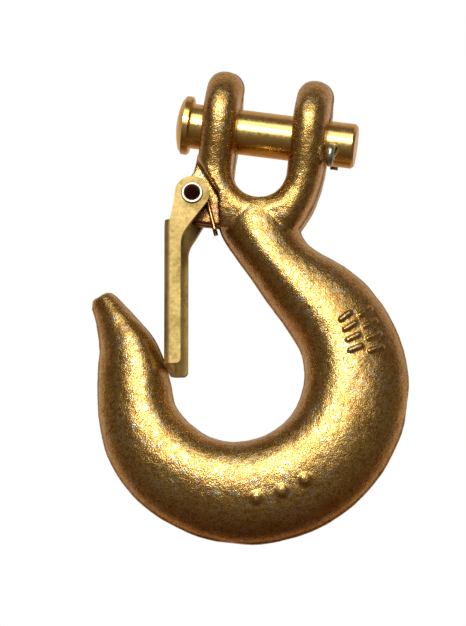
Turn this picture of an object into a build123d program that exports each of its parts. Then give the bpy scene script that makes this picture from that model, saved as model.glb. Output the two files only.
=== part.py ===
"""Clevis slip hook with a spring-loaded safety latch, for 5/16 inch chain.

Units are millimetres. The origin is on the clevis pin's axis, half way between the two
clevis ears. X runs along the pin, away from its head. Y runs through the hook from front to
back. Z points up, the way the hook hangs from its chain.
"""
from math import acos, atan2, cos, degrees, hypot, radians, sin, sqrt
import os

from build123d import *

# ---------------------------------------------------------------- driving dimensions
# Clevis
PIN_DIAMETER = 11.1
PIN_CLEARANCE = 0.05
CLEVIS_GAP = 13.7
EAR_THICKNESS = 8.6
EAR_TOP = 14.75
EAR_HALF_WIDTH = 12.6
EAR_ROUNDING = 4.0
SADDLE_DEPTH = 17.0
NECK_THICKNESS = 19.0

# Bowl: the bar lies between two circles that do not share a centre
BOWL_CENTRE = (0.4, -61.7)
BOWL_RADIUS = 16.9
OUTER_CENTRE = (4.4, -65.25)
OUTER_RADIUS = 38.5
SHANK_ANGLE = 41.1
LATCH_SEAT = 0.7
TIP_END = Vector(-35.7, 0, -45.5)
TIP_ROUNDING = 1.7

# Clevis pin
PIN_HEAD_DIAMETER = 14.5
PIN_HEAD_LENGTH = 2.7
PIN_HEAD_DOME = 1.0
PIN_HEAD_BEVEL = (0.9, 1.2)
PIN_HEAD_EDGE = 0.5
PIN_END_CHAMFER = 0.6
PIN_HEAD_FACE = -18.5
PIN_END = 22.5
COTTER_X = 17.25
COTTER_HOLE_DIAMETER = 3.2
COTTER_TILT = 33.6

# Cotter pin, bent from half-round wire with its flat side inwards
COTTER_WIRE_RADIUS = 1.0
COTTER_EYE_RADIUS = 2.9
COTTER_EYE_DISTANCE = 8.5
COTTER_NECK_RADIUS = 1.4
COTTER_BEND_RADIUS = 1.7
COTTER_BEND_ANGLE = 118
COTTER_LEG_END = 9.0
COTTER_BENT_LENGTH = 6.4
COTTER_SPLIT = 0.06

# Safety latch and the parts on its pivot
PIVOT = (-15.65, -18.4)
LATCH_LEAN = 6.9
LATCH_WIDTH = 15.0
SHEET = 1.5
LATCH_EAR_RADIUS = 4.3
LATCH_EAR_FLARE = 0.8
LATCH_LENGTH = 43.2
WEB_OFFSET = 6.5
OPEN_EDGE_OFFSET = 2.25
WEB_TOP = 6.6
KNEE = 11.0
KNEE_ROUNDING = 6.0
LATCH_TOE_ROUNDING = 1.2
BEND_RADIUS = 1.7
RIVET_RADIUS = 2.45
RIVET_BORE_RADIUS = 1.9
PIVOT_CLEARANCE = 0.05
RIVET_LIP = 0.5
RIVET_LIP_RADIUS = 2.68
RIVET_LIP_ROUNDING = 0.25
RIVET_END_PLAY = 0.1
LUG_THICKNESS = 5.0
LUG_RADIUS = 3.7
SPRING_WIRE = 1.1
SPRING_COIL_RADIUS = 3.2
SPRING_PITCH = 1.15
SPRING_INNER_Y = 3.25
SPRING_EASE = 3.0
SPRING_CORNER = 1.2
SPRING_TOE_LEAN = 21
SPRING_TOE_LENGTH = 6.2
SPRING_BRIDGE = 14.0
SPRING_WEB_GAP = 0.25

FULL_TURN = 360
PIN_RADIUS = PIN_DIAMETER / 2
EAR_INNER_X = CLEVIS_GAP / 2
EAR_OUTER_X = EAR_INNER_X + EAR_THICKNESS
PIVOT_POINT = Vector(PIVOT[0], 0, PIVOT[1])
PIVOT_PLANE = Plane(origin=PIVOT_POINT, x_dir=(1, 0, 0), z_dir=(0, 1, 0))

# The cotter's own plane: x runs out of the pin towards the eye, y down its back
COTTER_OUT = Vector(0, -cos(radians(COTTER_TILT)), -sin(radians(COTTER_TILT)))
COTTER_FRAME = Plane(origin=(COTTER_X, 0, 0), x_dir=COTTER_OUT, z_dir=(1, 0, 0))
COTTER_HOLE_PLANE = Plane(origin=(COTTER_X, 0, 0), z_dir=COTTER_OUT)

# The latch's own plane: y runs up the latch, x towards its open side
LATCH_SIDE = Vector(cos(radians(LATCH_LEAN)), 0, sin(radians(LATCH_LEAN)))
LATCH_PLANE = Plane(origin=PIVOT_POINT, x_dir=LATCH_SIDE, z_dir=(0, -1, 0))


def bowl_point(angle, radius):
    """The point at an angle and a distance from the bowl's centre, in the hook's plane."""
    x = BOWL_CENTRE[0] + radius * cos(radians(angle))
    z = BOWL_CENTRE[1] + radius * sin(radians(angle))
    return Vector(x, 0, z)


def outer_reach(angle):
    """Distance from the bowl's centre to the outer circle, at an angle."""
    shift_x = OUTER_CENTRE[0] - BOWL_CENTRE[0]
    shift_z = OUTER_CENTRE[1] - BOWL_CENTRE[1]
    shift = hypot(shift_x, shift_z)
    turn = radians(angle) - atan2(shift_z, shift_x)
    return shift * cos(turn) + sqrt(OUTER_RADIUS**2 - (shift * sin(turn)) ** 2)


def bar_section(inner, outer, thickness, belly=0.40):
    """Egg-shaped section of the bar: fullest near its inner edge, leaner to its outer edge."""
    width = (outer - inner).length
    across = (outer - inner).normalized()
    plane = Plane(origin=inner + across * width * belly, x_dir=across, z_dir=across.cross(Vector(0, 1, 0)))
    with BuildSketch(plane) as section:
        with BuildLine():
            EllipticalCenterArc((0, 0), width * belly, thickness / 2, 90, arc_size=180)
            EllipticalCenterArc((0, 0), width * (1 - belly), thickness / 2, 270, arc_size=180)
        make_face()
    return section.sketch


def smooth_bar():
    """The hooked bar, from its tip round the bowl and up the shank into the neck."""
    tip_stations = [
        (Vector(-33.8, 0, -44.1), Vector(-37.7, 0, -47.0), 5.2),
        (Vector(-29.6, 0, -46.8), Vector(-36.3, 0, -50.1), 8.6),
        (Vector(-24.3, 0, -51.4), Vector(-34.9, 0, -54.4), 12.4),
        (Vector(-19.7, 0, -56.8), Vector(-33.8, 0, -59.4), 15.4),
        (bowl_point(180, BOWL_RADIUS + LATCH_SEAT), bowl_point(180, outer_reach(180) - 0.2), 16.6),
    ]
    # Each with its angle, its thickness, and how far it stands out from the outer circle
    bowl_stations = [
        (212, 17.6, -0.25),
        (245, 18.8, 0.2),
        (278, 19.8, 0.0),
        (312, 20.4, -0.25),
        (345, 20.2, -0.15),
        (377, 19.6, 0.15),
    ]
    shank_start = bowl_point(SHANK_ANGLE, BOWL_RADIUS)
    up_shank = Vector(-sin(radians(SHANK_ANGLE)), 0, cos(radians(SHANK_ANGLE)))
    shank_stations = [
        (shank_start, bowl_point(SHANK_ANGLE, outer_reach(SHANK_ANGLE) + 0.3), 19.2),
        (shank_start + up_shank * 11.5, Vector(19.8, 0, -29.9), 19.0),
        (shank_start + up_shank * 21.5, Vector(13.0, 0, -26.1), NECK_THICKNESS),
        (shank_start + up_shank * 29.5, Vector(10.7, 0, -20.6), NECK_THICKNESS - 0.6),
        (Vector(-7.9, 0, -20.2), Vector(10.8, 0, -14.8), NECK_THICKNESS - 4),
    ]
    sections = [bar_section(*station) for station in tip_stations]
    for angle, thickness, swell in bowl_stations:
        inner = bowl_point(angle, BOWL_RADIUS)
        outer = bowl_point(angle, outer_reach(angle) + swell)
        sections.append(bar_section(inner, outer, thickness))
    sections += [bar_section(*station) for station in shank_stations]
    return sections


# ---------------------------------------------------------------- hook forging
with BuildPart() as hook_forging:
    # The clevis: a fork with rounded ears, its side view cut from one block
    with BuildSketch(Plane.XZ.offset(-EAR_TOP)) as fork_front:
        with BuildLine():
            Polyline(
                (EAR_OUTER_X, -6.0),
                (EAR_OUTER_X, EAR_TOP + 1),
                (EAR_INNER_X, EAR_TOP + 1),
                (EAR_INNER_X, EAR_INNER_X - SADDLE_DEPTH),
            )
            ThreePointArc(
                (EAR_INNER_X, EAR_INNER_X - SADDLE_DEPTH),
                (0, -SADDLE_DEPTH),
                (-EAR_INNER_X, EAR_INNER_X - SADDLE_DEPTH),
            )
            Polyline(
                (-EAR_INNER_X, EAR_INNER_X - SADDLE_DEPTH),
                (-EAR_INNER_X, EAR_TOP + 1),
                (-EAR_OUTER_X, EAR_TOP + 1),
                (-EAR_OUTER_X, -9.4),
                (-9.2, -17.4),
                (-7.8, -26.0),
                (9.2, -26.0),
            )
            TangentArc((EAR_OUTER_X, -6.0), (9.2, -26.0), tangent=(0, -1))
        make_face()
    extrude(amount=2 * EAR_TOP)
    with BuildSketch(Plane.YZ.offset(-EAR_OUTER_X - 1)) as fork_side:
        with BuildLine():
            ear_end = ThreePointArc((-EAR_HALF_WIDTH, 0), (0, EAR_TOP), (EAR_HALF_WIDTH, 0))
            Spline(ear_end @ 1, (9.6, -12.5), (6.5, -26.0), tangents=(ear_end % 1, (-0.7, -1)))
            Line((6.5, -26.0), (-6.5, -26.0))
            Spline((-6.5, -26.0), (-9.6, -12.5), ear_end @ 0, tangents=((-0.7, 1), ear_end % 0))
        make_face()
    extrude(amount=2 * EAR_OUTER_X + 2, mode=Mode.INTERSECT)
    rim = hook_forging.edges().filter_by(GeomType.LINE, reverse=True)
    rim = rim.filter_by(lambda edge: abs(edge.position_at(0.3).Y) > LUG_THICKNESS)
    rim = rim.filter_by(lambda edge: edge.center().X > -EAR_INNER_X - 0.1 or edge.center().Z > -10)
    fillet(rim, EAR_ROUNDING)
    loft(sections=smooth_bar())
    tip_edge = hook_forging.edges().sort_by_distance(TIP_END)[0:2]
    fillet(tip_edge, TIP_ROUNDING)

    # The tab that carries the latch, half way through the forging's thickness, and its root
    with BuildSketch(Plane.XZ.offset(-LUG_THICKNESS / 2)) as lug_outline:
        with Locations(PIVOT):
            Circle(LUG_RADIUS)
        with Locations((-12.6, -9.5)):
            Circle(2.4)
        with Locations((-13.5, -20.6), (-6.4, -20.6)):
            Circle(4.0)
        make_hull()
    extrude(amount=LUG_THICKNESS)
    with BuildSketch(Plane.XZ.offset(-LUG_THICKNESS / 2)) as lug_root:
        with Locations((-13.2, -7.2), (-13.7, -11.4), (-9.5, -12.0)):
            Circle(2.6)
        make_hull()
    extrude(amount=LUG_THICKNESS)

    # Pin holes through both ears, and the rivet's hole through the tab
    with Locations(Plane.YZ):
        Cylinder(PIN_RADIUS + PIN_CLEARANCE, 4 * EAR_OUTER_X, mode=Mode.SUBTRACT)
    with Locations(PIVOT_PLANE):
        Cylinder(RIVET_RADIUS, 2 * LUG_THICKNESS, mode=Mode.SUBTRACT)
hook_forging.part.label = "hook_forging"


# ---------------------------------------------------------------- clevis pin
with BuildPart() as clevis_pin:
    with BuildSketch(Plane.XY) as pin_profile:
        with BuildLine():
            head_radius = PIN_HEAD_DIAMETER / 2
            head_back = PIN_HEAD_FACE - PIN_HEAD_LENGTH
            dome_radius = head_radius - PIN_HEAD_BEVEL[1]
            ThreePointArc(
                (head_back - PIN_HEAD_DOME, 0),
                (head_back - PIN_HEAD_DOME * 3 / 4, dome_radius / 2),
                (head_back, dome_radius),
            )
            Polyline(
                (head_back, dome_radius),
                (head_back + PIN_HEAD_BEVEL[0], head_radius),
                (PIN_HEAD_FACE - PIN_HEAD_EDGE, head_radius),
                (PIN_HEAD_FACE, head_radius - PIN_HEAD_EDGE),
                (PIN_HEAD_FACE, PIN_RADIUS),
                (PIN_END - PIN_END_CHAMFER, PIN_RADIUS),
                (PIN_END, PIN_RADIUS - PIN_END_CHAMFER),
                (PIN_END, 0),
                (head_back - PIN_HEAD_DOME, 0),
            )
        make_face()
    revolve(axis=Axis.X)
    with Locations(COTTER_HOLE_PLANE):
        Cylinder(COTTER_HOLE_DIAMETER / 2, 2 * PIN_DIAMETER, mode=Mode.SUBTRACT)
clevis_pin.part.label = "clevis_pin"


# ---------------------------------------------------------------- cotter pin
with BuildPart() as cotter_pin:
    eye_radius = COTTER_EYE_RADIUS - COTTER_WIRE_RADIUS
    leg_y = COTTER_SPLIT / 2
    neck_y = leg_y + COTTER_NECK_RADIUS
    neck_run = sqrt((eye_radius + COTTER_NECK_RADIUS) ** 2 - neck_y**2)
    neck_x = COTTER_EYE_DISTANCE - neck_run
    neck_turn = 90 - degrees(atan2(neck_y, neck_run))
    bend_end = radians(270 - COTTER_BEND_ANGLE)
    bend_y = leg_y + COTTER_BEND_RADIUS
    exit_x = COTTER_BEND_RADIUS * cos(bend_end) - PIN_RADIUS
    exit_y = COTTER_BEND_RADIUS * sin(bend_end) + bend_y
    tip_x = exit_x + COTTER_BENT_LENGTH * sin(bend_end)
    tip_y = exit_y - COTTER_BENT_LENGTH * cos(bend_end)
    with BuildLine(COTTER_FRAME) as cotter_path:
        Line((-COTTER_LEG_END, -leg_y), (neck_x, -leg_y))
        CenterArc((neck_x, -neck_y), COTTER_NECK_RADIUS, 90, -neck_turn)
        CenterArc((COTTER_EYE_DISTANCE, 0), eye_radius, -90 - neck_turn, 180 + 2 * neck_turn)
        CenterArc((neck_x, neck_y), COTTER_NECK_RADIUS, neck_turn - 90, -neck_turn)
        Line((neck_x, leg_y), (-PIN_RADIUS, leg_y))
        CenterArc((-PIN_RADIUS, bend_y), COTTER_BEND_RADIUS, 270, -COTTER_BEND_ANGLE)
        Line((exit_x, exit_y), (tip_x, tip_y))
    leg_tip = COTTER_FRAME.from_local_coords(Vector(-COTTER_LEG_END, -leg_y))
    with BuildSketch(Plane(origin=leg_tip, x_dir=(1, 0, 0), z_dir=COTTER_OUT)) as wire:
        with BuildLine():
            CenterArc((0, 0), COTTER_WIRE_RADIUS, 0, 180)
            Line((-COTTER_WIRE_RADIUS, 0), (COTTER_WIRE_RADIUS, 0))
        make_face()
    sweep(path=cotter_path.wire())
cotter_pin.part.label = "cotter_pin"


# ---------------------------------------------------------------- safety latch
with BuildPart() as latch:
    # Folded sheet: two cheeks joined by a web on the outer side, open towards the shank
    knee = Vector(-OPEN_EDGE_OFFSET, -KNEE)
    ear_tangent = atan2(knee.Y, knee.X) + acos(LATCH_EAR_RADIUS / knee.length)
    ear_side = Vector(cos(ear_tangent), sin(ear_tangent)) * LATCH_EAR_RADIUS
    with BuildSketch(LATCH_PLANE.offset(-LATCH_WIDTH / 2)) as cheek_outline:
        with BuildLine():
            Polyline(
                (0, 0),
                (-LATCH_EAR_RADIUS, 0),
                (-LATCH_EAR_RADIUS - LATCH_EAR_FLARE, -WEB_TOP),
                (-WEB_OFFSET, -WEB_TOP),
                (-WEB_OFFSET, -LATCH_LENGTH),
                (-OPEN_EDGE_OFFSET, -LATCH_LENGTH),
                knee,
                ear_side,
                close=True,
            )
        make_face()
        rounded_knee = vertices().sort_by_distance(knee)[0]
        fillet(rounded_knee, KNEE_ROUNDING)
        toe_corner = vertices().sort_by_distance(Vector(-OPEN_EDGE_OFFSET, -LATCH_LENGTH))[0]
        fillet(toe_corner, LATCH_TOE_ROUNDING)
        Circle(LATCH_EAR_RADIUS)
    extrude(amount=LATCH_WIDTH)
    web_side = latch.faces().sort_by(Axis(PIVOT_POINT, LATCH_SIDE))[0]
    folds = web_side.edges().filter_by(lambda edge: abs(edge.center().Y) > 1)
    fillet(folds, BEND_RADIUS)
    with BuildSketch(LATCH_PLANE.offset(-LATCH_WIDTH / 2 + SHEET)) as inside:
        with Locations((SHEET - WEB_OFFSET, LATCH_EAR_RADIUS + 1)):
            Rectangle(
                2 * WEB_OFFSET,
                LATCH_LENGTH + LATCH_EAR_RADIUS + 2,
                align=(Align.MIN, Align.MAX),
            )
    extrude(amount=LATCH_WIDTH - 2 * SHEET, mode=Mode.SUBTRACT)
    with Locations(PIVOT_PLANE):
        Cylinder(RIVET_RADIUS + PIVOT_CLEARANCE, 2 * LATCH_WIDTH, mode=Mode.SUBTRACT)
latch.part.label = "latch"


# ---------------------------------------------------------------- hollow rivet
with BuildPart() as latch_rivet:
    # A tube through the latch and the tab, its ends rolled over outside the cheeks
    lip_inner = LATCH_WIDTH / 2 + RIVET_END_PLAY
    lip_outer = lip_inner + RIVET_LIP
    with BuildSketch(Plane(origin=PIVOT_POINT, x_dir=(1, 0, 0), z_dir=(0, 0, 1))) as rivet_profile:
        with Locations(((RIVET_BORE_RADIUS + RIVET_RADIUS) / 2, 0)):
            Rectangle(RIVET_RADIUS - RIVET_BORE_RADIUS, 2 * lip_outer)
        lip_width = RIVET_LIP_RADIUS - RIVET_BORE_RADIUS
        lip_middle = (lip_inner + lip_outer) / 2
        with Locations(*[(RIVET_BORE_RADIUS + lip_width / 2, side * lip_middle) for side in (-1, 1)]):
            Rectangle(lip_width, RIVET_LIP)
        lip_corners = vertices().filter_by(lambda corner: abs(corner.Y) > lip_inner + RIVET_LIP / 2)
        fillet(lip_corners, RIVET_LIP_ROUNDING)
    revolve(axis=Axis(PIVOT_POINT, (0, 1, 0)))
latch_rivet.part.label = "latch_rivet"


# ---------------------------------------------------------------- torsion spring
# Where the leg leaves the coil so that it runs straight to the bridge, inside the latch's web
web_inside = SHEET + SPRING_WIRE / 2 + SPRING_WEB_GAP - WEB_OFFSET
bridge_point = Vector(web_inside, -SPRING_BRIDGE)
bridge_angle = atan2(bridge_point.Y, bridge_point.X) - acos(SPRING_COIL_RADIUS / bridge_point.length)
leg_angle = LATCH_LEAN + degrees(bridge_angle) + 2 * FULL_TURN
turns = (leg_angle - SPRING_TOE_LEAN) / FULL_TURN
coil = Helix(
    SPRING_PITCH,
    SPRING_PITCH * turns,
    SPRING_COIL_RADIUS,
    center=PIVOT_POINT + Vector(0, SPRING_INNER_Y, 0),
    direction=(0, 1, 0),
    lefthand=True,
)
coil = coil.rotate(Axis(PIVOT_POINT, (0, 1, 0)), 90 - SPRING_TOE_LEAN)

with BuildPart() as latch_spring:
    # One half: a toe on the shank, a coil round the rivet, a leg on the web, half the bridge
    coil_start = coil @ 0
    coil_end = coil @ 1
    toe_direction = Vector(sin(radians(SPRING_TOE_LEAN)), 0, -cos(radians(SPRING_TOE_LEAN)))
    bridge_end = LATCH_PLANE.from_local_coords(bridge_point)
    leg_direction = Vector(bridge_end.X - coil_end.X, 0, bridge_end.Z - coil_end.Z).normalized()
    # The wire leaves the coil sloping sideways by its pitch, and straightens over a short ease
    drift = Vector(0, SPRING_EASE * (coil % 0).Y / 2, 0)
    toe_root = coil_start + toe_direction * SPRING_EASE - drift
    leg_root = coil_end + leg_direction * SPRING_EASE + drift
    leg_end = Vector(bridge_end.X, leg_root.Y, bridge_end.Z)
    bridge_start = leg_end + leg_direction * SPRING_CORNER - Vector(0, SPRING_CORNER, 0)
    with BuildLine() as spring_path:
        Line(toe_root + toe_direction * SPRING_TOE_LENGTH, toe_root)
        Spline(toe_root, coil_start, tangents=(-toe_direction, coil % 0))
        add(coil)
        Spline(coil_end, leg_root, tangents=(coil % 1, leg_direction))
        Line(leg_root, leg_end)
        TangentArc(leg_end, bridge_start, tangent=leg_direction)
        Line(bridge_start, Vector(bridge_start.X, 0, bridge_start.Z))
    with BuildSketch(Plane(origin=spring_path.wire() @ 0, z_dir=spring_path.wire() % 0)) as spring_wire:
        Circle(SPRING_WIRE / 2)
    sweep(path=spring_path.wire())
    mirror(about=Plane.XZ)
latch_spring.part.label = "latch_spring"


# ---------------------------------------------------------------- files
os.makedirs("parts", exist_ok=True)
for piece in (hook_forging, clevis_pin, cotter_pin, latch, latch_rivet, latch_spring):
    export_step(piece.part, f"parts/{piece.part.label}.step")
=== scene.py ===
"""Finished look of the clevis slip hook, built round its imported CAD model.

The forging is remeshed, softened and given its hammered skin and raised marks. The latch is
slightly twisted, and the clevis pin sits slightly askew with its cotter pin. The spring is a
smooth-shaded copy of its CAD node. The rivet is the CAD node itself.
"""

from math import cos, pi, radians, sin

import bmesh
import bpy
import numpy as np
from mathutils import Matrix, Vector, noise


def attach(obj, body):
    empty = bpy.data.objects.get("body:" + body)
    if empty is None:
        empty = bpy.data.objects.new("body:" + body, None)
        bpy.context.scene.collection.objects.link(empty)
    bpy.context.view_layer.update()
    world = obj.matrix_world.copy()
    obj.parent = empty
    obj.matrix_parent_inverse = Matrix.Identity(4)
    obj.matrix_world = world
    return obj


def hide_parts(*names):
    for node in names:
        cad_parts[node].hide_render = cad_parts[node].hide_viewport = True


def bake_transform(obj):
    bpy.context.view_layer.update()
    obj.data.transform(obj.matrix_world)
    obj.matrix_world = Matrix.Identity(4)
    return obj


MM = 0.001

# ---------------------------------------------------------------- camera
CAMERA_AZIMUTH = radians(5.0)
CAMERA_ELEVATION = radians(-14.0)
CAMERA_ROLL = radians(7.2)
CAMERA_TARGET = Vector((-3.45, 10.5, -43.2)) * MM
CAMERA_DISTANCE = 5.0
FRAME_HEIGHT = 0.15457
SENSOR = 36.0
NEAR_LIMIT = 0.05
FAR_LIMIT = 50

# ---------------------------------------------------------------- mesh finish
NOISE_STEP = (17.3, 5.1, 9.7)
WELD_DISTANCE = 0.0005 * MM
SHARP_ANGLE = radians(32)
SPRING_SHARP_ANGLE = radians(40)
TINY = 1e-9

# ---------------------------------------------------------------- forging
VOXEL = 0.32 * MM
SMOOTH_STEPS = 5
SMOOTH_FACTOR = 0.5
PIN_HOLE_RADIUS = 5.93 * MM
HOLE_MARGIN = 0.25 * MM

# How much the forging's skin is pulled in, then (size, depth) of its lumps. Depths are in mm.
SKIN_SHRINK = 0.03
BROAD_LUMPS = (5.0 * MM, 0.10)
SMALL_LUMPS = (2.0 * MM, 0.05)
SKIN_GRAIN = (0.9 * MM, 0.028)

# The flash line's height and half width in mm, and how far outwards its skin faces.
FLASH_HEIGHT = 0.30
FLASH_HALF_WIDTH = (0.35, 0.9)
FLASH_FACING = (0.8, 0.95)

# ---------------------------------------------------------------- raised marks, in mm and degrees
BOWL_CENTRE = (0.4, -61.7)
MARK_HEIGHT = 0.55
MARK_FACING = (0.35, 0.6)
BAR_ANGLES = (31, 25.5, 20, 14.5)
INNER_BAR = ((28.6, 0), (31.4, 1.5))
OUTER_BAR = ((33.4, -1), (36.4, 0.5))
BAR_HALF_WIDTH = (0.28, 0.80)
PIP_ANGLES = (-74, -63, -52)
PIP_DISTANCE = 33.6
PIP_RADIUS = (0.5, 2.1)

# ---------------------------------------------------------------- latch, pin and spring
PIVOT = Vector((-15.65, 0, -18.4)) * MM
LATCH_LEAN = radians(6.9)
LATCH_TWIST = radians(4.2)
LATCH_MIDDLE = -4.4 * MM

# Distances below the pivot, in mm: the latch is cut across for its twist, which starts in a zone.
LATCH_LENGTH = 43
LATCH_CUT_SPACING = 0.5
TWIST_ZONE = (1.5, 9.0)
LATCH_EDGE = 0.16 * MM
LATCH_EDGE_SEGMENTS = 2
LATCH_EDGE_ANGLE = radians(50)
CUT_DISTANCE = 1e-7
PIN_TILT = radians(1.3)

# ---------------------------------------------------------------- materials
# Middle of the painted shade round the latch tab, measured from the pivot.
TAB_MIDDLE = Vector((3.0, 0, -4.5)) * MM
# Radii over which the rivet's painted bore shade fades in.
RIVET_BORE_EDGE = (1.96 * MM, 2.06 * MM)

# ---------------------------------------------------------------- floor
FLOOR_HALF = 8.0
FLOOR_LEVEL = -1.5
FLOOR_COLOUR = (0.8, 0.8, 0.79, 1)
FLOOR_ROUGHNESS = 0.9

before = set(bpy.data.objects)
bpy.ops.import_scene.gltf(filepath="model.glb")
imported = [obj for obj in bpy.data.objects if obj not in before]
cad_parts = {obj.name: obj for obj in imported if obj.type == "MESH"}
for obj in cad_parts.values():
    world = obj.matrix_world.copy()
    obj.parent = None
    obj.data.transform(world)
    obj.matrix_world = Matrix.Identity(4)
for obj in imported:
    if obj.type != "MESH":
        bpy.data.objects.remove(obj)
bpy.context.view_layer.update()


# ---------------------------------------------------------------- mesh helpers
def new_object(name, mesh):
    """A new object in the scene, with its mesh."""
    obj = bpy.data.objects.new(name, mesh)
    bpy.context.scene.collection.objects.link(obj)
    return obj


def apply_modifiers(obj):
    """Makes the result of an object's modifiers its mesh."""
    bpy.context.view_layer.update()
    evaluated = obj.evaluated_get(bpy.context.evaluated_depsgraph_get())
    mesh = bpy.data.meshes.new_from_object(evaluated)
    obj.modifiers.clear()
    obj.data = mesh


def welded_copy(node, name):
    """A copy of a CAD node's mesh with its faces joined into one closed skin."""
    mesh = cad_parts[node].data.copy()
    mesh.materials.clear()
    if "custom_normal" in mesh.attributes:
        mesh.attributes.remove(mesh.attributes["custom_normal"])
    skin = bmesh.new()
    skin.from_mesh(mesh)
    bmesh.ops.remove_doubles(skin, verts=skin.verts, dist=WELD_DISTANCE)
    skin.to_mesh(mesh)
    skin.free()
    return new_object(name, mesh)


def points_of(mesh):
    """A mesh's points, as an array."""
    points = np.zeros(len(mesh.vertices) * 3)
    mesh.vertices.foreach_get("co", points)
    return points.reshape(-1, 3)


def normals_of(mesh):
    """A mesh's point normals, as an array."""
    normals = np.zeros(len(mesh.vertices) * 3, np.float32)
    mesh.vertex_normals.foreach_get("vector", normals)
    return normals.reshape(-1, 3).astype(float)


def set_points(mesh, points):
    """Moves a mesh's points."""
    mesh.vertices.foreach_set("co", points.astype(np.float32).ravel())
    mesh.update()


def smoothstep(low, high, value):
    """0 below low, 1 above high, and a smooth ramp between them."""
    share = np.clip((value - low) / (high - low), 0, 1)
    return share * share * (3 - 2 * share)


def noise_at(points, size, seed):
    """Smooth noise from about -1 to 1 at each point, with lumps of about the given size."""
    shift = Vector([seed * step for step in NOISE_STEP])
    return np.array([noise.noise(Vector(point) / size + shift) for point in points])


# ---------------------------------------------------------------- raised forging marks
def segment_distance(x, z, start, end):
    """Distance from each point to a straight segment, in the hook's plane."""
    run = (end[0] - start[0], end[1] - start[1])
    length_squared = run[0] ** 2 + run[1] ** 2
    share = np.clip(((x - start[0]) * run[0] + (z - start[1]) * run[1]) / length_squared, 0, 1)
    return np.hypot(x - start[0] - share * run[0], z - start[1] - share * run[1])


def bar_point(radius, angle):
    """A point in the hook's plane, by its distance and angle from the bowl's centre."""
    return (
        BOWL_CENTRE[0] + radius * cos(radians(angle)),
        BOWL_CENTRE[1] + radius * sin(radians(angle)),
    )


def mark_bars():
    """The ends of the plain raised bars, which lie in two rows beside the shank."""
    strokes = []
    for angle in BAR_ANGLES:
        for ends in (INNER_BAR, OUTER_BAR):
            strokes.append([bar_point(radius, angle + turn) for radius, turn in ends])
    return strokes


def raised_marks(points, normals):
    """Share of the marks' height at each point: bars and round pips, on the hook's front only."""
    x = points[:, 0] / MM
    z = points[:, 2] / MM
    front = smoothstep(*MARK_FACING, -normals[:, 1])
    height = np.zeros(len(points))
    for start, end in mark_bars():
        distance = segment_distance(x, z, start, end)
        height = np.maximum(height, 1 - smoothstep(*BAR_HALF_WIDTH, distance))
    for angle in PIP_ANGLES:
        centre = bar_point(PIP_DISTANCE, angle)
        distance = np.hypot(x - centre[0], z - centre[1])
        height = np.maximum(height, 1 - smoothstep(*PIP_RADIUS, distance))
    return height * front


# ---------------------------------------------------------------- forged hook
def forged_hook():
    """The forging, with soft edges, an uneven skin, raised marks and the trimmed flash line.

    Its pin holes are kept round and open, and it stays inside the CAD forging's box.
    """
    hook = welded_copy("hook_forging", "forged_hook")
    cad_points = points_of(hook.data)
    remesh = hook.modifiers.new("remesh", "REMESH")
    remesh.mode = "VOXEL"
    remesh.voxel_size = VOXEL * 1
    smooth = hook.modifiers.new("smooth", "SMOOTH")
    smooth.factor = SMOOTH_FACTOR
    smooth.iterations = SMOOTH_STEPS
    apply_modifiers(hook)

    mesh = hook.data
    points = points_of(mesh)
    normals = normals_of(mesh)
    relief = MARK_HEIGHT * raised_marks(points, normals) - SKIN_SHRINK
    for seed, (size, depth) in enumerate((BROAD_LUMPS, SMALL_LUMPS, SKIN_GRAIN), start=1):
        relief += depth * noise_at(points, size, seed)
    near_middle = 1 - smoothstep(*FLASH_HALF_WIDTH, np.abs(points[:, 1]) / MM)
    facing_outwards = smoothstep(*FLASH_FACING, 1 - np.abs(normals[:, 1]))
    relief += FLASH_HEIGHT * near_middle * facing_outwards
    in_hole = np.hypot(points[:, 1], points[:, 2]) < PIN_HOLE_RADIUS + HOLE_MARGIN
    points = points + normals * np.where(in_hole, 0, relief * MM)[:, None]
    from_axis = np.maximum(np.hypot(points[:, 1], points[:, 2]), TINY)
    stretch = np.where(from_axis < PIN_HOLE_RADIUS, PIN_HOLE_RADIUS / from_axis, 1)
    points[:, 1] *= stretch
    points[:, 2] *= stretch
    set_points(mesh, np.clip(points, cad_points.min(axis=0), cad_points.max(axis=0)))
    mesh.shade_smooth()
    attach(hook, "hook")
    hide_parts("hook_forging")
    return hook


def latch_axes():
    """The latch's own directions: towards its open side, and up along it."""
    side = np.array((cos(LATCH_LEAN), 0, sin(LATCH_LEAN)))
    up = np.array((-sin(LATCH_LEAN), 0, cos(LATCH_LEAN)))
    return side, up


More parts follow.
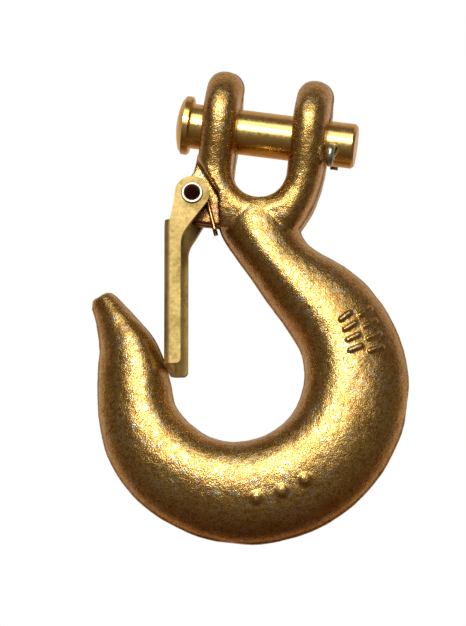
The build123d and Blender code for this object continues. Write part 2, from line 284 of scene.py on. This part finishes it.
def twisted_latch():
    """The latch with softened edges. Below its ears it's slightly twisted about its own length."""
    latch = welded_copy("latch", "twisted_latch")
    side, up = latch_axes()
    mesh = latch.data
    skin = bmesh.new()
    skin.from_mesh(mesh)
    for drop in np.arange(LATCH_CUT_SPACING, LATCH_LENGTH, LATCH_CUT_SPACING):
        bmesh.ops.bisect_plane(
            skin,
            geom=skin.verts[:] + skin.edges[:] + skin.faces[:],
            dist=CUT_DISTANCE,
            plane_co=PIVOT - Vector(up) * drop * MM,
            plane_no=Vector(up),
        )
    skin.to_mesh(mesh)
    skin.free()
    points = points_of(mesh)
    from_pivot = points - np.array(PIVOT)
    along = from_pivot @ up
    across = from_pivot @ side - LATCH_MIDDLE
    depth = points[:, 1].copy()
    turn = LATCH_TWIST * smoothstep(*TWIST_ZONE, -along / MM)
    new_across = across * np.cos(turn) + depth * np.sin(turn) + LATCH_MIDDLE
    points = np.array(PIVOT) + np.outer(along, up) + np.outer(new_across, side)
    points[:, 1] = depth * np.cos(turn) - across * np.sin(turn)
    set_points(mesh, points)
    mesh.shade_smooth()
    mesh.set_sharp_from_angle(angle=SHARP_ANGLE)
    bevel = latch.modifiers.new("bevel", "BEVEL")
    bevel.width = LATCH_EDGE
    bevel.segments = LATCH_EDGE_SEGMENTS
    bevel.limit_method = "ANGLE"
    bevel.angle_limit = LATCH_EDGE_ANGLE
    bevel.harden_normals = True
    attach(latch, "latch_plate")
    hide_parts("latch")
    return latch


def tilted(node, name):
    """A copy of a node that goes with the clevis pin, which sits slightly askew in its holes."""
    piece = welded_copy(node, name)
    points = points_of(piece.data)
    x = points[:, 0].copy()
    z = points[:, 2].copy()
    points[:, 0] = x * cos(PIN_TILT) + z * sin(PIN_TILT)
    points[:, 2] = z * cos(PIN_TILT) - x * sin(PIN_TILT)
    set_points(piece.data, points)
    piece.data.shade_smooth()
    piece.data.set_sharp_from_angle(angle=SHARP_ANGLE)
    flat_faces = piece.modifiers.new("flat faces", "WEIGHTED_NORMAL")
    flat_faces.keep_sharp = True
    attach(piece, "pin")
    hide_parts(node)
    return piece


def torsion_spring():
    """The latch spring: a smooth-shaded copy of its CAD node. Its toes lie on the shank."""
    spring = welded_copy("latch_spring", "torsion_spring")
    spring.data.shade_smooth()
    spring.data.set_sharp_from_angle(angle=SPRING_SHARP_ANGLE)
    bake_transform(spring)
    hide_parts("latch_spring")
    return spring


# ---------------------------------------------------------------- materials
class Paint:
    """A small builder for one procedural metal."""

    def __init__(self, name):
        self.material = bpy.data.materials.new(name)
        self.material.use_nodes = True
        self.tree = self.material.node_tree
        self.tree.nodes.clear()
        self.output = self.add("ShaderNodeOutputMaterial")
        self.shader = self.add("ShaderNodeBsdfPrincipled")
        self.tree.links.new(self.shader.outputs[0], self.output.inputs["Surface"])
        self.shader.inputs["Metallic"].default_value = 1.0
        self.place = self.add("ShaderNodeTexCoord").outputs["Object"]

    def add(self, kind):
        return self.tree.nodes.new(kind)

    def link(self, source, target):
        self.tree.links.new(source, target)

    def noise(self, size, detail=3.0, roughness=0.55, stretch=(1, 1, 1)):
        """Noise with lumps of about the given size."""
        mapping = self.add("ShaderNodeMapping")
        mapping.inputs["Scale"].default_value = stretch
        self.link(self.place, mapping.inputs["Vector"])
        texture = self.add("ShaderNodeTexNoise")
        texture.inputs["Scale"].default_value = 1 / size
        texture.inputs["Detail"].default_value = detail
        texture.inputs["Roughness"].default_value = roughness
        self.link(mapping.outputs[0], texture.inputs["Vector"])
        return texture.outputs[0]

    def spread(self, value, low, high, to_low=0.0, to_high=1.0):
        """Stretches a value from one range to another, and clamps it."""
        node = self.add("ShaderNodeMapRange")
        node.inputs["From Min"].default_value = low
        node.inputs["From Max"].default_value = high
        node.inputs["To Min"].default_value = to_low
        node.inputs["To Max"].default_value = to_high
        self.link(value, node.inputs["Value"])
        return node.outputs[0]

    def roughness(self, value, low, high, at_low, at_high):
        """Roughness that follows a value."""
        self.link(self.spread(value, low, high, at_low, at_high), self.shader.inputs["Roughness"])

    def ramp(self, value, stops):
        """A colour for each value, from (position, colour) stops."""
        node = self.add("ShaderNodeValToRGB")
        elements = node.color_ramp.elements
        while len(elements) < len(stops):
            elements.new(0.5)
        for element, (position, colour) in zip(elements, stops):
            element.position = position
            element.color = (*colour, 1)
        self.link(value, node.inputs[0])
        return node.outputs[0]

    def mix(self, share, first, second):
        """Mixes two colours, each a socket or a plain colour."""
        node = self.add("ShaderNodeMix")
        node.data_type = "RGBA"
        self.link(share, node.inputs["Factor"])
        for value, socket in ((first, node.inputs[6]), (second, node.inputs[7])):
            if isinstance(value, tuple):
                socket.default_value = (*value, 1)
            else:
                self.link(value, socket)
        return node.outputs[2]

    def calculate(self, operation, first, second):
        """One arithmetic step on two values, each a socket or a number."""
        node = self.add("ShaderNodeMath")
        node.operation = operation
        for value, socket in ((first, node.inputs[0]), (second, node.inputs[1])):
            if isinstance(value, (int, float)):
                socket.default_value = value
            else:
                self.link(value, socket)
        return node.outputs[0]

    def distance(self, centre):
        """Distance from a line through a point, along the hook's thickness."""
        position = self.add("ShaderNodeSeparateXYZ")
        self.link(self.place, position.inputs[0])
        from_x = self.calculate("SUBTRACT", position.outputs[0], centre.x)
        from_z = self.calculate("SUBTRACT", position.outputs[2], centre.z)
        x_squared = self.calculate("MULTIPLY", from_x, from_x)
        z_squared = self.calculate("MULTIPLY", from_z, from_z)
        return self.calculate("POWER", self.calculate("ADD", x_squared, z_squared), 0.5)

    def bump(self, height, depth, strength=1.0):
        """A bump of the given depth in metres, added to any bump already there."""
        node = self.add("ShaderNodeBump")
        node.inputs["Strength"].default_value = strength
        node.inputs["Distance"].default_value = depth
        self.link(height, node.inputs["Height"])
        normal = self.shader.inputs["Normal"]
        if normal.is_linked:
            self.link(normal.links[0].from_socket, node.inputs["Normal"])
        self.link(node.outputs[0], normal)


def forged_gold():
    """Yellow zinc on a shot-blasted forging, with brown hollows and pale rubbed flecks.

    Round the latch tab it is darkened to red-brown: painted shade.
    """
    paint = Paint("gold_zinc_forging")
    brown = (0.40, 0.22, 0.06)
    dark_brown = (0.34, 0.19, 0.06)
    painted_tab_shade = (0.22, 0.09, 0.04)
    rubbed_zinc = (0.60, 0.58, 0.50)
    grain = paint.noise(0.30 * MM, detail=1.5, roughness=0.6)
    blotches = paint.noise(1.1 * MM, detail=3.0, roughness=0.65)
    patches = paint.noise(7 * MM, detail=4.0, roughness=0.6)
    gold = paint.ramp(
        patches,
        [
            (0.32, (0.68, 0.40, 0.12)),
            (0.46, (0.80, 0.54, 0.18)),
            (0.60, (0.86, 0.62, 0.23)),
            (0.74, (0.80, 0.47, 0.16)),
        ],
    )
    blotched = paint.mix(paint.spread(blotches, 0.3, 0.5), brown, gold)
    gold = paint.mix(paint.spread(blotches, 0.42, 0.60), blotched, gold)
    gold = paint.mix(paint.spread(grain, 0.36, 0.56), dark_brown, gold)
    rubbed = paint.noise(1.6 * MM, detail=5.0, roughness=0.78)
    where = paint.noise(15 * MM, detail=2.0)
    in_patches = paint.spread(where, 0.42, 0.54)
    flecks = paint.calculate("MULTIPLY", paint.spread(rubbed, 0.54, 0.62), in_patches)
    colour = paint.mix(flecks, gold, rubbed_zinc)
    # Painted shade: the colour turns red-brown round the latch tab and fades out between 4.5 and
    # 6.5 mm from it.
    from_tab = paint.distance(PIVOT + TAB_MIDDLE)
    painted_shade_near_tab = paint.spread(from_tab, 4.5 * MM, 6.5 * MM, to_low=0.75, to_high=0.0)
    colour = paint.mix(painted_shade_near_tab, colour, painted_tab_shade)
    paint.link(colour, paint.shader.inputs["Base Color"])
    paint.roughness(grain, 0.35, 0.65, 0.32, 0.22)
    paint.bump(grain, 0.085 * MM, 1.0)
    paint.bump(blotches, 0.09 * MM, 0.8)
    return paint.material


def turned_gold():
    """Yellow zinc on the smooth turned pin: clean reflections, faint turning marks, small dings."""
    paint = Paint("gold_zinc_turned")
    tint = paint.noise(7 * MM, detail=3.0)
    colour = paint.ramp(
        tint,
        [
            (0.32, (0.86, 0.60, 0.20)),
            (0.52, (0.93, 0.69, 0.27)),
            (0.7, (0.86, 0.56, 0.24)),
        ],
    )
    stains = paint.noise(1.3 * MM, detail=5.0, roughness=0.7)
    stain_brown = (0.52, 0.34, 0.14)
    colour = paint.mix(paint.spread(stains, 0.60, 0.72), colour, stain_brown)
    paint.link(colour, paint.shader.inputs["Base Color"])
    paint.roughness(stains, 0.3, 0.7, 0.16, 0.34)
    rings = paint.noise(0.30 * MM, detail=1.5, stretch=(1, 0.02, 0.02))
    paint.bump(rings, 0.006 * MM, 0.6)
    paint.bump(paint.noise(0.9 * MM, detail=3.0), 0.02 * MM, 0.6)
    return paint.material


def sheet_gold():
    """Yellow zinc on the stamped latch: satin olive gold with darker stains and long scratches."""
    paint = Paint("gold_zinc_sheet")
    patches = paint.noise(5 * MM, detail=5.0, roughness=0.65)
    colour = paint.ramp(
        patches,
        [
            (0.32, (0.34, 0.24, 0.08)),
            (0.5, (0.56, 0.43, 0.17)),
            (0.7, (0.66, 0.50, 0.22)),
        ],
    )
    stains = paint.noise(1.1 * MM, detail=5.0, roughness=0.75)
    stain_brown = (0.42, 0.27, 0.11)
    colour = paint.mix(paint.spread(stains, 0.58, 0.70), colour, stain_brown)
    paint.link(colour, paint.shader.inputs["Base Color"])
    paint.roughness(stains, 0.3, 0.7, 0.48, 0.62)
    paint.bump(paint.noise(0.5 * MM, detail=3.0), 0.02 * MM, 0.7)
    paint.bump(paint.noise(0.9 * MM, detail=2.0, stretch=(1, 1, 0.08)), 0.02 * MM, 0.6)
    return paint.material


def bright_tube():
    """The rivet: bright where it was rolled over. Inside its bore it has painted shade: dull, dark
    brown and not metallic.
    """
    paint = Paint("bright_rivet")
    tint = paint.noise(1.5 * MM, detail=4.0)
    colour = paint.ramp(tint, [(0.35, (0.40, 0.36, 0.30)), (0.6, (0.62, 0.60, 0.56))])
    # Painted shade in the bore: inside the bore radius the colour turns dark brown, dull and not
    # metallic.
    inside = paint.spread(paint.distance(PIVOT), *RIVET_BORE_EDGE, to_low=1.0, to_high=0.0)
    bore_painted_shade = (0.36, 0.15, 0.06)
    colour = paint.mix(inside, colour, bore_painted_shade)
    paint.link(colour, paint.shader.inputs["Base Color"])
    paint.link(paint.calculate("SUBTRACT", 1.0, inside), paint.shader.inputs["Metallic"])
    polish = paint.spread(tint, 0.3, 0.7, 0.32, 0.46)
    paint.link(paint.calculate("MAXIMUM", polish, inside), paint.shader.inputs["Roughness"])
    paint.bump(paint.noise(0.4 * MM, detail=3.0), 0.02 * MM, 0.6)
    return paint.material


def wire_zinc():
    """The cotter pin: clear zinc, silver with a green cast."""
    paint = Paint("clear_zinc_wire")
    tint = paint.noise(1.6 * MM, detail=4.0)
    colour = paint.ramp(
        tint,
        [
            (0.35, (0.34, 0.42, 0.34)),
            (0.55, (0.68, 0.74, 0.64)),
            (0.75, (0.80, 0.82, 0.74)),
        ],
    )
    paint.link(colour, paint.shader.inputs["Base Color"])
    paint.roughness(tint, 0.3, 0.7, 0.18, 0.34)
    paint.bump(paint.noise(0.5 * MM, detail=3.0), 0.02 * MM, 0.6)
    return paint.material


def spring_gold():
    """The spring's wire: orange-brown zinc, slightly rough."""
    paint = Paint("gold_zinc_spring")
    tint = paint.noise(1.2 * MM, detail=4.0)
    colour = paint.ramp(
        tint,
        [
            (0.35, (0.42, 0.17, 0.06)),
            (0.55, (0.72, 0.38, 0.14)),
            (0.75, (0.84, 0.56, 0.26)),
        ],
    )
    paint.link(colour, paint.shader.inputs["Base Color"])
    paint.roughness(tint, 0.3, 0.7, 0.20, 0.36)
    paint.bump(paint.noise(0.3 * MM, detail=2.0), 0.01 * MM, 0.6)
    return paint.material


def coat(obj, material):
    """Gives an object one material."""
    obj.data.materials.clear()
    obj.data.materials.append(material)


# ---------------------------------------------------------------- camera and light
def camera_axes():
    """The camera's right, up and back directions."""
    back = Vector((
        sin(CAMERA_AZIMUTH) * cos(CAMERA_ELEVATION),
        -cos(CAMERA_AZIMUTH) * cos(CAMERA_ELEVATION),
        sin(CAMERA_ELEVATION),
    ))
    level = Vector((0, 0, 1)).cross(back).normalized()
    upright = back.cross(level)
    right = level * cos(CAMERA_ROLL) + upright * sin(CAMERA_ROLL)
    up = back.cross(right)
    return right, up, back


def set_camera():
    """A long lens at the photograph's viewing angle."""
    right, up, back = camera_axes()
    camera = bpy.data.cameras.new("camera")
    camera.sensor_width = SENSOR
    camera.lens = SENSOR * CAMERA_DISTANCE / FRAME_HEIGHT
    camera.clip_start = NEAR_LIMIT
    camera.clip_end = FAR_LIMIT
    stand = new_object("camera", camera)
    turn = Matrix((right, up, back)).transposed().to_4x4()
    stand.matrix_world = Matrix.Translation(CAMERA_TARGET + back * CAMERA_DISTANCE) @ turn
    bpy.context.scene.camera = stand


def softbox(name, sideways, upwards, distance, width, height, brightness, colour):
    """A lit panel facing the hook. Its angles, in degrees, are from the camera's own direction."""
    right, up, back = camera_axes()
    side = radians(sideways)
    lift = radians(upwards)
    direction = (back * cos(side) + right * sin(side)) * cos(lift) + up * sin(lift)
    light = bpy.data.lights.new(name, "AREA")
    light.shape = "RECTANGLE"
    light.size = width
    light.size_y = height
    light.energy = brightness * pi * width * height
    light.color = colour
    lamp = new_object(name, light)
    lamp.location = CAMERA_TARGET + direction * distance
    lamp.rotation_euler = direction.to_track_quat("Z", "Y").to_euler()


def set_world():
    """White behind the hook. What the metal reflects is brown, and paler behind the hook."""
    right, up, back = camera_axes()
    world = bpy.data.worlds.new("studio")
    world.use_nodes = True
    bpy.context.scene.world = world
    tree = world.node_tree
    tree.nodes.clear()
    output = tree.nodes.new("ShaderNodeOutputWorld")
    choose = tree.nodes.new("ShaderNodeMixShader")
    path = tree.nodes.new("ShaderNodeLightPath")
    seen = tree.nodes.new("ShaderNodeBackground")
    seen.inputs["Color"].default_value = (1, 1, 1, 1)
    room = tree.nodes.new("ShaderNodeBackground")
    direction = tree.nodes.new("ShaderNodeTexCoord").outputs["Generated"]
    link = tree.links.new

    def shades_along(axis, stops):
        """A colour for each direction, by how far it leans towards an axis."""
        lean = tree.nodes.new("ShaderNodeVectorMath")
        lean.operation = "DOT_PRODUCT"
        lean.inputs[1].default_value = axis
        share = tree.nodes.new("ShaderNodeMapRange")
        share.inputs["From Min"].default_value = -1
        share.inputs["From Max"].default_value = 1
        shades = tree.nodes.new("ShaderNodeValToRGB")
        elements = shades.color_ramp.elements
        while len(elements) < len(stops):
            elements.new(0.5)
        for element, (position, colour) in zip(elements, stops):
            element.position = position
            element.color = (*colour, 1)
        link(direction, lean.inputs[0])
        link(lean.outputs["Value"], share.inputs["Value"])
        link(share.outputs[0], shades.inputs[0])
        return shades.outputs[0]

    depth = shades_along(back, [
        (0.0, (0.62, 0.50, 0.42)),
        (0.28, (0.46, 0.34, 0.27)),
        (0.40, (0.13, 0.09, 0.065)),
        (0.54, (0.122, 0.088, 0.062)),
        (0.80, (0.125, 0.098, 0.072)),
        (0.95, (0.14, 0.112, 0.085)),
        (1.0, (0.16, 0.14, 0.11)),
    ])
    height = shades_along(up, [
        (0.0, (0.55, 0.36, 0.25)),
        (0.20, (0.85, 0.64, 0.52)),
        (0.42, (1.1, 1.06, 1.0)),
        (1.0, (1.0, 0.97, 0.95)),
    ])
    together = tree.nodes.new("ShaderNodeMix")
    together.data_type = "RGBA"
    together.blend_type = "MULTIPLY"
    together.inputs["Factor"].default_value = 1.0
    link(depth, together.inputs[6])
    link(height, together.inputs[7])
    link(together.outputs[2], room.inputs["Color"])
    link(path.outputs["Is Camera Ray"], choose.inputs[0])
    link(room.outputs[0], choose.inputs[1])
    link(seen.outputs[0], choose.inputs[2])
    link(choose.outputs[0], output.inputs["Surface"])


def set_floor():
    """A plain pale floor, well under the hook."""
    mesh = bpy.data.meshes.new("floor")
    corners = [
        (across * FLOOR_HALF, along * FLOOR_HALF, FLOOR_LEVEL)
        for across, along in ((-1, -1), (1, -1), (1, 1), (-1, 1))
    ]
    mesh.from_pydata(corners, [], [(0, 1, 2, 3)])
    floor = new_object("floor", mesh)
    material = bpy.data.materials.new("floor")
    material.use_nodes = True
    shader = material.node_tree.nodes["Principled BSDF"]
    shader.inputs["Base Color"].default_value = FLOOR_COLOUR
    shader.inputs["Roughness"].default_value = FLOOR_ROUGHNESS
    floor.data.materials.append(material)
    floor.visible_glossy = False


# ---------------------------------------------------------------- the scene
coat(forged_hook(), forged_gold())
coat(torsion_spring(), spring_gold())
coat(twisted_latch(), sheet_gold())
coat(tilted("clevis_pin", "turned_clevis_pin"), turned_gold())
coat(tilted("cotter_pin", "bent_cotter_pin"), wire_zinc())
coat(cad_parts["latch_rivet"], bright_tube())

set_camera()
set_world()
set_floor()
softbox(
    "key",
    sideways=-9,
    upwards=31,
    distance=0.9,
    width=0.15,
    height=0.12,
    brightness=33.0,
    colour=(1.0, 0.97, 0.88),
)
softbox(
    "glow",
    sideways=-4,
    upwards=31,
    distance=1.0,
    width=0.95,
    height=0.52,
    brightness=1.5,
    colour=(1.0, 0.93, 0.76),
)
softbox(
    "top",
    sideways=-4,
    upwards=56,
    distance=0.9,
    width=0.8,
    height=0.30,
    brightness=1.9,
    colour=(1.0, 0.96, 0.84),
)

bpy.context.scene.view_settings.view_transform = "Standard"
